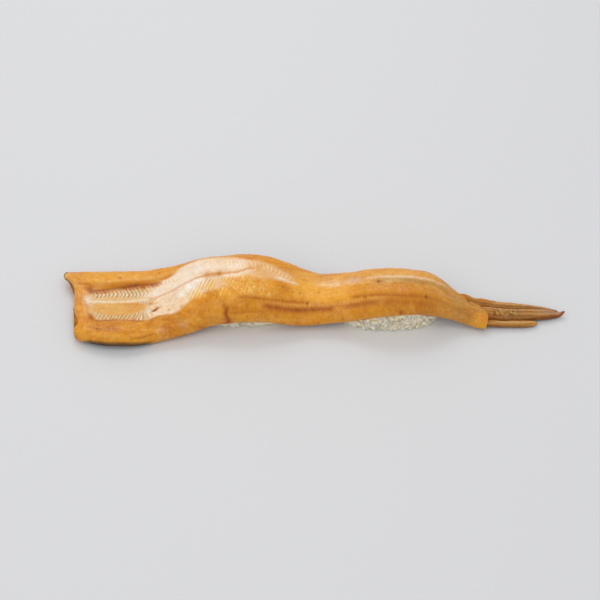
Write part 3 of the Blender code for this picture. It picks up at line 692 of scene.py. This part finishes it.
    # A near-black line at the foot of the front edge: the dark skin showing there, with painted shade under
    # the edge.
    over(SKIN_AND_SHADE_BLACK, 0.95 * rise((-side - 0.9875) / 0.008) * between(x, -119, -90, 8))
    over(SKIN_DARK, 0.85 * rise((side - 0.8) / 0.06) * rise((-128.1 - x) / 0.3))
    return colour


def skin_colours(x, s, side):
    """The colour of the skin side: mottled dull brown, and gold at its edges and at the cut end."""
    share = blotches(x, s, 8.0, 51)[..., None]
    colour = SKIN * share + SKIN_DARK * (1 - share)
    edge = rise((abs(side) - 0.93) / 0.06) * (1 - between(x, -124, -88, 4) * (side < 0))
    edge = np.maximum(edge, rise((-124.5 - x) / 1.2))[..., None]
    return colour * (1 - edge) + AMBER * edge


rounding = 1 - np.cos(np.linspace(0, math.pi / 2, END_STATIONS + 1)[:-1])
station_x = np.concatenate([
    CUT_END_X + CUT_RADIUS * rounding,
    np.linspace(CUT_END_X + CUT_RADIUS, ROWS_END_X, ROW_STATIONS)[:-1],
    np.linspace(ROWS_END_X, FLAP_END_X - FLAP_RADIUS, PLAIN_STATIONS),
    FLAP_END_X - FLAP_RADIUS * rounding[::-1],
])[:, None]
quarter_turns = np.linspace(-1, 1, TOP_STEPS + 1)[None, :]
top_side = (np.sin(quarter_turns * math.pi / 2) + quarter_turns) / 2
under_side = np.sin(np.linspace(1, -1, UNDER_STEPS + 1) * math.pi / 2)[None, 1:-1]
cut_side, _, top_s = skins(station_x, top_side)
_, skin_side, under_s = skins(station_x, under_side)
top_marks = markings(station_x, top_s)
colours = np.concatenate([
    flesh_colours(station_x, top_s, top_side, top_marks),
    skin_colours(station_x, under_s, under_side),
], 1)
eel = rolled_body("conger_fillet", np.concatenate([cut_side, skin_side], 1), colours)


def new_material(name, settings):
    """A material, its tree of nodes, and its shader with these settings."""
    made = bpy.data.materials.new(name)
    made.use_nodes = True
    shader = made.node_tree.nodes["Principled BSDF"]
    for socket, value in settings.items():
        shader.inputs[socket].default_value = value
    return made, made.node_tree, shader


def add_node(tree, kind, settings, feeds, operation=None):
    """A node with these settings and with what feeds its sockets. Gives its first output."""
    made = tree.nodes.new("ShaderNode" + kind)
    if operation:
        made.operation = operation
    for socket, value in settings.items():
        made.inputs[socket].default_value = value
    for socket, source in feeds.items():
        tree.links.new(source, made.inputs[socket])
    return made.outputs[0]


def spread(tree, source, low, high, to_low, to_high):
    """What comes in from low to high goes out from to_low to to_high."""
    limits = {"From Min": low, "From Max": high, "To Min": to_low, "To Max": to_high}
    return add_node(tree, "MapRange", limits, {"Value": source})


def painted_on(tree, name, output):
    """What is stored under this name at each point of the piece."""
    made = tree.nodes.new("ShaderNodeAttribute")
    made.attribute_name = name
    return made.outputs[output]


def flesh_material(name, rough_low, rough_high, coat, grain_scale):
    """Glazed cooked fish: painted, with a fine grain, a wet coat and a little light passing through."""
    made, tree, shader = new_material(name, {
        "Subsurface Weight": 0.15,
        "Subsurface Radius": (1.0, 0.4, 0.12),
        "Subsurface Scale": 0.002,
        "Coat Weight": coat,
        "Coat Roughness": 0.07,
        "Specular IOR Level": 0.18,
    })
    place = {"Vector": tree.nodes.new("ShaderNodeTexCoord").outputs["Object"]}
    grain = add_node(tree, "TexNoise", {"Scale": grain_scale, "Detail": 4.0}, place)
    patches = add_node(tree, "TexNoise", {"Scale": 260.0, "Detail": 6.0, "Roughness": 0.65}, place)
    depth = spread(tree, patches, 0.3, 0.7, 0.93, 1.13)
    deep = add_node(tree, "Gamma", {}, {"Color": painted_on(tree, "flesh", "Color"), "Gamma": depth})
    vary = spread(tree, grain, 0.3, 0.7, 0.91, 1.08)
    shade = add_node(tree, "VectorMath", {}, {0: deep, "Scale": vary}, "SCALE")
    tree.links.new(shade, shader.inputs["Base Color"])
    tree.links.new(spread(tree, patches, 0.35, 0.65, rough_low, rough_high), shader.inputs["Roughness"])
    bump = add_node(tree, "Bump", {"Strength": 0.32, "Distance": 0.0004}, {"Height": grain})
    tree.links.new(bump, shader.inputs["Normal"])
    tree.links.new(bump, shader.inputs["Coat Normal"])
    return made


eel.data.materials.append(flesh_material("glazed_conger", 0.26, 0.55, 0.36, 900.0))
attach(eel, "root")
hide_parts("eel")

# ---- The tail fins ---------------------------------------------------------------------------------
# The eel's own tail, left on for show: the fin runs round it in three strips that part past the flesh.
# Each is a closed roll along its run of (x, y, z, half width, half height), in millimetres, with fine rays.
BACK_FIN = (
    (70, 3.4, 11.6, 2, 1.6), (78, 3.1, 8.2, 2.6, 1.8), (86, 2.3, 5.5, 2.8, 1.8),
    (96, 1.6, 3.8, 2.7, 1.8), (106, 1.4, 3, 2.4, 1.6), (115, 1.1, 2.5, 1.8, 1.3),
    (124, 0, 2.1, 1.1, 0.9), (129, -0.7, 1.9, 0.4, 0.5),
)
MIDDLE_FIN = (
    (80, -3.2, 7.4, 2.8, 1.8), (88, -3.9, 5, 3.5, 2.2), (96, -4.2, 3.2, 3.7, 2.5),
    (106, -4, 2.5, 3.6, 2.2), (115, -3.4, 2.2, 3.2, 1.9), (125, -2.9, 1.8, 2.3, 1.4),
    (129.5, -2.6, 1.7, 1.4, 1), (132.5, -1.7, 3.1, 0.6, 0.6),
)
FRONT_FIN = (
    (83, -8, 4.2, 1.7, 1.4), (90, -8.8, 2.8, 2, 1.6), (97, -9, 2, 2, 1.7), (106, -9, 1.8, 2, 1.6),
    (114, -8.7, 1.6, 1.8, 1.4), (117.4, -8.3, 1.4, 1, 0.9),
)
FIN_STATIONS = 170
FIN_SIDES = 56
FIN_TIP_RADIUS = 1.4
FIN_RAYS = 13
FLOOR_GAP = 0.0001
ROOT = tone(196, 128, 46)
TAN = tone(220, 176, 118)
EMBER = tone(206, 134, 40)
VALLEY_SHADE = tone(102, 53, 8)
MAUVE = tone(180, 142, 116)
# The folds of each strip: (place across it, half width, height, (start, end, fade), colour, strength).
# Tan on the raised folds is a painted highlight; the valley colour is painted shade in hollows and along
# edges.
BACK_FOLDS = (
    (0.7, 0.3, 0.15, (74, 104, 6), EMBER, 0.8), (0.15, 0.3, 0.4, (98, 124, 6), TAN, 0.55),
    (-0.3, 0.2, -0.35, (84, 118, 6), VALLEY_SHADE, 0.6), (-0.85, 0.25, 0.0, (80, 122, 6), VALLEY_SHADE, 0.9),
)
MIDDLE_FOLDS = (
    (0.58, 0.22, 0.8, (92, 125, 5), TAN, 0.9), (0.18, 0.12, -0.4, (104, 124, 4), VALLEY_SHADE, 0.55),
    (-0.1, 0.22, 0.2, (107, 124, 5), TAN, 0.45), (-0.48, 0.22, -0.45, (91, 114, 5), VALLEY_SHADE, 0.7),
    (-0.9, 0.14, 0.0, (92, 119, 5), VALLEY_SHADE, 0.85), (0.92, 0.1, 0.0, (92, 122, 5), VALLEY_SHADE, 0.85),
)
FRONT_FOLDS = (
    (-0.15, 0.35, 0.45, (98, 115, 5), TAN, 0.8), (0.45, 0.18, -0.25, (88, 112, 5), VALLEY_SHADE, 0.45),
    (0.88, 0.2, 0.0, (88, 116, 4), VALLEY_SHADE, 0.8), (-0.95, 0.12, 0.0, (90, 110, 5), BARK, 0.6),
)
fin_finish = flesh_material("glazed_fin", 0.38, 0.6, 0.25, 1400.0)


def fin(name, run, folds, seed, ragged, tip, wrinkled=0.0):
    """One strip of the tail fin, with its folds, ragged edges and a tip of its own colour."""
    at, *courses = np.array(run).T
    x = np.linspace(at[0], at[-1], FIN_STATIONS)[:, None]
    y, z, wide, high = (along(np.stack([at, course], 1), x) for course in courses)
    turn = np.linspace(0, 2 * math.pi, FIN_SIDES, endpoint=False)[None, :]
    close = np.clip((at[-1] - x) / FIN_TIP_RADIUS, 0, 1)
    close = np.sqrt(np.clip(1 - (1 - close) ** 2, 0.01, 1))
    across = np.cos(turn)
    up = np.sin(turn)
    top = rise(up / 0.4)
    up = np.sign(up) * abs(up) ** 0.7
    rays = 0.5 + 0.5 * np.sin(across * FIN_RAYS + 1.8 * mottle(x, across * 2, 9.0, seed))
    edge = mottle(x, across * 2, 3.4, seed + 1) + 0.4 * mottle(x, across * 5, 1.3, seed + 4)
    lumps = 0.2 * mottle(x, across * 3, 4.0, seed + 2) + 0.1 * mottle(x, across * 5, 1.4, seed + 5)
    wrinkles = wrinkled * between(x, 94, 107, 3) * between(across, -0.35, 0.45, 0.2)
    net = network(x, across * 4, 1.5, seed + 7)
    lift = 0.14 * rays + lumps + 0.4 * wrinkles * net
    for place, width, tall, reach, _, _ in folds:
        lift = lift + tall * streak(across - place, width) * between(x, *reach)
    lift = lift * top
    rings = np.stack([
        x + 0 * turn,
        y + wide * close * (1 + ragged * edge) * across,
        np.maximum(z + high * close * up + lift * close, FLOOR_GAP / MM),
    ], 2)

    colour, over = painter(ROOT, rings.shape[:2])
    patches = blotches(x, across * 3, 3.0, seed + 3)
    fine = blotches(x, across * 6, 1.0, seed + 6)
    along_it = (x - 80) / (at[-1] - 80)
    over(FIN, 0.85 * rise((along_it - 0.1) / 0.4))
    # Painted shade between the rays.
    over(VALLEY_SHADE, 0.45 * (1 - rays) * (0.4 + 0.6 * patches))
    for place, width, _, reach, new, strength in folds:
        over(new, strength * streak(across - place, width) * between(x, *reach) * (0.65 + 0.35 * fine))
    over(BUTTER, 0.35 * wrinkles * net)
    # Painted shade in the hollows of the wrinkles.
    over(VALLEY_SHADE, 0.35 * wrinkles * (1 - net))
    over(MAUVE, 0.75 * tip * rise((along_it - 0.66) / 0.2) * rise((across + 0.6) / 0.5))
    over(BARK, 0.75 * tip * rise((along_it - 0.62) / 0.2) * rise((-across - 0.35) / 0.4))
    over(RUST, 0.75 * tip * rise((along_it - 0.955) / 0.02))
    over(BARK, 0.5 * tip * rise((along_it - 0.93) / 0.04))
    over(SKIN_DARK, 0.7 * rise(-up / 0.5))

    made = rolled_body(name, rings, colour)
    made.data.materials.append(fin_finish)
    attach(made, "root")
    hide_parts("eel")


fin("tail_fin_back", BACK_FIN, BACK_FOLDS, 61, 0.22, 0.5)
fin("tail_fin_middle", MIDDLE_FIN, MIDDLE_FOLDS, 66, 0.07, 1.0, wrinkled=1.0)
fin("tail_fin_front", FRONT_FIN, FRONT_FOLDS, 71, 0.08, 0.0)

# ---- The rice --------------------------------------------------------------------------------------
# Two balls of vinegared short-grain rice, pressed by hand and seated under the waves of the fillet.
# Each is a core with whole grains bedded in its side; what would cross the fillet is left out.
RICE_HEIGHT = 0.0185
RICE_WIDTH = 0.0275
BALLS = {
    "rice_left": {"x": -0.0355, "y": 0.0043, "length": 0.0515, "seed": 4},
    "rice_right": {"x": 0.0388, "y": 0.0022, "length": 0.0515, "seed": 9},
}
PLAN_POWER = 3.0
HEIGHT_POWER = 2.3
CORE_INSET = 0.0005
CORE_BUMP = 0.0004
SEAT_GAP = 0.0004
GRAIN_SIZE = (0.0061, 0.0028, 0.0024)
GRAIN_PITCH = 0.0026
GRAIN_CROWDING = 1.65
GRAIN_ROW_PITCH = 0.0015
FIRST_ROW = 0.0012
LAST_ROW = RICE_HEIGHT - 0.001
# How far a grain strays from its row, how low and high it may lie, and how deep it is bedded.
ROW_WANDER = 0.0009
LOWEST_GRAIN = 0.0008
HIGHEST_GRAIN = RICE_HEIGHT - 0.0004
GRAIN_DEPTH = 0.0006


def seated_height(x, y):
    """How high the skin side of the fillet stands above this place, or None outside it."""
    hit = eel_surface.ray_cast(Vector((x, y, -0.01)), Vector((0, 0, 1)))[0]
    return hit.z if hit else None


def shrink_at(height):
    """The ball's plan at this height, as a share of its plan at the foot."""
    return max(1 - (height / RICE_HEIGHT) ** HEIGHT_POWER, 0.0) ** (1 / HEIGHT_POWER)


def ball_point(ball, angle, height, inset):
    """A point on the side of the ball at this height, and the way out from there."""
    way_x = math.cos(angle)
    way_y = math.sin(angle)
    plan = (abs(way_x) ** PLAN_POWER + abs(way_y) ** PLAN_POWER) ** (-1 / PLAN_POWER) * shrink_at(height)
    half_long = ball["length"] / 2 - inset
    half_wide = RICE_WIDTH / 2 - inset
    point = Vector((ball["x"] + way_x * plan * half_long, ball["y"] + way_y * plan * half_wide, height))
    slope = (height / RICE_HEIGHT) ** (HEIGHT_POWER - 1)
    return point, Vector((way_x / half_long, way_y / half_wide, slope / RICE_HEIGHT)).normalized()


def grain_shape():
    """One cooked grain, about the origin: blunt, a little bent and flatter on one side."""
    bpy.ops.object.select_all(action="DESELECT")
    bpy.ops.mesh.primitive_ico_sphere_add(subdivisions=2, radius=1.0)
    ball = bpy.context.object
    points = np.array([v.co[:] for v in ball.data.vertices])
    faces = np.array([p.vertices[:] for p in ball.data.polygons])
    bpy.data.objects.remove(ball)
    long = points[:, 0]
    points[:, 0] = np.sign(long) * abs(long) ** 0.9
    points[:, 2] += 0.22 * long ** 2 - 0.1
    points[:, 1] *= 1 - 0.12 * long
    return points * np.array(GRAIN_SIZE) / 2, faces


def core(name, ball):
    """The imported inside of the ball, a little smaller than its grains, hollowed where the fillet lies."""
    bpy.ops.object.select_all(action="DESELECT")
    bpy.ops.mesh.primitive_uv_sphere_add(segments=64, ring_count=32, radius=1.0)
    made = bpy.context.object
    made.name = made.data.name = name
    middle = Vector((ball["x"], ball["y"], 0))
    for v in made.data.vertices:
        up = max(v.co.z, 0.0)
        flat = math.hypot(v.co.x, v.co.y)
        stretch = (flat ** HEIGHT_POWER + up ** HEIGHT_POWER) ** (-1 / HEIGHT_POWER) if up else 1.0
        height = up * stretch * (RICE_HEIGHT - CORE_INSET)
        point, _ = ball_point(ball, math.atan2(v.co.y, v.co.x), 0.0, CORE_INSET)
        place = middle + (point - middle) * flat * stretch
        rough = CORE_BUMP * math.sin(900 * place.x + 2.0) * math.sin(1100 * place.y + 700 * height)
        over = seated_height(place.x, place.y)
        v.co = (place.x, place.y, height + (rough if v.co.z > 0.1 else 0.0))
        if over is not None:
            v.co.z = max(min(v.co.z, over - SEAT_GAP), 0.0)
    return made


def crosses_fillet(placed):
    """Whether a grain comes nearer to the fillet than the gap, or lies inside it."""
    for point in placed[::3]:
        near, normal, _, distance = eel_surface.find_nearest(Vector(point))
        if distance < SEAT_GAP or (Vector(point) - near).dot(normal) < 0:
            return True
    return False


def grains(name, ball, shape):
    """All the grains that show round the ball, as one mesh."""
    draw = random.Random(ball["seed"])
    points, faces = shape
    all_points = []
    all_faces = []
    shades = []
    height = FIRST_ROW
    while height < LAST_ROW:
        round_it = (ball["length"] + RICE_WIDTH) * (0.25 + 0.75 * shrink_at(height))
        count = int(GRAIN_CROWDING * round_it / GRAIN_PITCH)
        for i in range(count):
            angle = 2 * math.pi * (i + draw.random()) / count
            level = height + draw.uniform(-ROW_WANDER, ROW_WANDER)
            level = min(max(level, LOWEST_GRAIN), HIGHEST_GRAIN)
            middle, outward = ball_point(ball, angle, level, draw.uniform(0.0, GRAIN_DEPTH))
            level_way = Vector((0, 0, 1)).cross(outward).normalized()
            turn = Matrix((level_way, outward.cross(level_way), outward)).transposed()
            turn = turn @ Matrix.Rotation(draw.uniform(-1.5, 1.5), 3, "Z")
            turn = turn @ Matrix.Rotation(draw.gauss(0, 0.16), 3, "Y")
            turn = turn @ Matrix.Rotation(draw.uniform(-0.8, 0.8), 3, "X")
            size = (draw.uniform(0.86, 1.1), draw.uniform(0.88, 1.1), draw.uniform(0.88, 1.08))
            placed = (points * np.array(size)) @ np.array(turn).T + np.array(middle)
            placed[:, 2] += max(FLOOR_GAP - placed[:, 2].min(), 0)
            if crosses_fillet(placed):
                continue
            all_faces.append(faces + len(all_points) * len(points))
            all_points.append(placed)
            shades.append(np.full(len(points), draw.uniform(0, 1)))
        height += GRAIN_ROW_PITCH
    mesh = bpy.data.meshes.new(name)
    mesh.from_pydata(np.concatenate(all_points).tolist(), [], np.concatenate(all_faces).tolist())
    layer = mesh.attributes.new("shade", "FLOAT", "POINT")
    layer.data.foreach_set("value", np.concatenate(shades))
    made = bpy.data.objects.new(name, mesh)
    bpy.context.scene.collection.objects.link(made)
    return made


def rice_material(name):
    """Cooked rice: milky white, moist and a little see-through, each grain its own shade."""
    made, tree, shader = new_material(name, {
        "Subsurface Weight": 0.55,
        "Subsurface Radius": (1.0, 0.92, 0.7),
        "Subsurface Scale": 0.003,
        "Coat Weight": 0.12,
        "Coat Roughness": 0.3,
        "Roughness": 0.55,
    })
    place = {"Vector": tree.nodes.new("ShaderNodeTexCoord").outputs["Object"]}
    cloud = add_node(tree, "TexNoise", {"Scale": 350.0}, place)
    both = add_node(tree, "Math", {}, {0: painted_on(tree, "shade", "Fac"), 1: cloud}, "ADD")
    ramp = tree.nodes.new("ShaderNodeValToRGB")
    dim, bright = ramp.color_ramp.elements
    dim.position = 0.35
    dim.color = (*tone(253, 238, 200), 1)
    bright.position = 1.0
    bright.color = (*tone(255, 246, 216), 1)
    tree.links.new(add_node(tree, "Math", {1: 0.67}, {0: both}, "MULTIPLY"), ramp.inputs["Fac"])
    tree.links.new(ramp.outputs["Color"], shader.inputs["Base Color"])
    bump = add_node(tree, "Bump", {"Strength": 0.2, "Distance": 0.0002}, {"Height": cloud})
    tree.links.new(bump, shader.inputs["Normal"])
    return made


eel_surface = BVHTree.FromObject(eel, bpy.context.evaluated_depsgraph_get())
rice_finish = rice_material("moist_rice")
one_grain = grain_shape()
for node, ball in BALLS.items():
    for piece in (core(node + "_core", ball), grains(node + "_grains", ball, one_grain)):
        piece.data.shade_smooth()
        piece.data.materials.append(rice_finish)
        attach(piece, "root")
        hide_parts(node)

# ---- Floor and light -------------------------------------------------------------------------------
# A plain pale floor in a pale room, a large soft window behind the table and another in front, and two
# lamps. Each light is turned to the middle of the serving.
SERVING_MIDDLE = Vector((0, 0, 0.01))

bpy.ops.mesh.primitive_plane_add(size=6.0)
floor = bpy.context.object
floor.name = "floor"
floor_look = {"Base Color": (*tone(219, 222, 227), 1), "Roughness": 0.55}
floor.data.materials.append(new_material("pale_floor", floor_look)[0])

room = bpy.data.worlds.new("pale_room")
room.use_nodes = True
room.node_tree.nodes["Background"].inputs["Color"].default_value = (1.0, 0.97, 0.935, 1)
room.node_tree.nodes["Background"].inputs["Strength"].default_value = 0.7
bpy.context.scene.world = room


def soft_light(name, place, width, height, power, colour):
    """A rectangular soft light."""
    bpy.ops.object.light_add(type="AREA", location=place)
    made = bpy.context.object
    made.name = name
    made.data.shape = "RECTANGLE"
    made.data.size = width
    made.data.size_y = height
    made.data.energy = power
    made.data.color = colour
    made.rotation_mode = "QUATERNION"
    made.rotation_quaternion = (SERVING_MIDDLE - Vector(place)).to_track_quat("-Z", "Y")


soft_light("window", (-0.25, 0.75, 0.85), 0.9, 0.5, 2.0, (0.98, 0.99, 1.0))
soft_light("lamp", (-0.1, 0.62, 0.8), 0.14, 0.14, 0.4, (1.0, 0.98, 0.95))
soft_light("front window", (-0.45, -0.6, 0.8), 0.9, 0.5, 1.4, (1.0, 0.99, 0.97))
soft_light("overhead", (0.3, -0.1, 1.1), 0.4, 0.4, 1.0, (1.0, 0.98, 0.95))
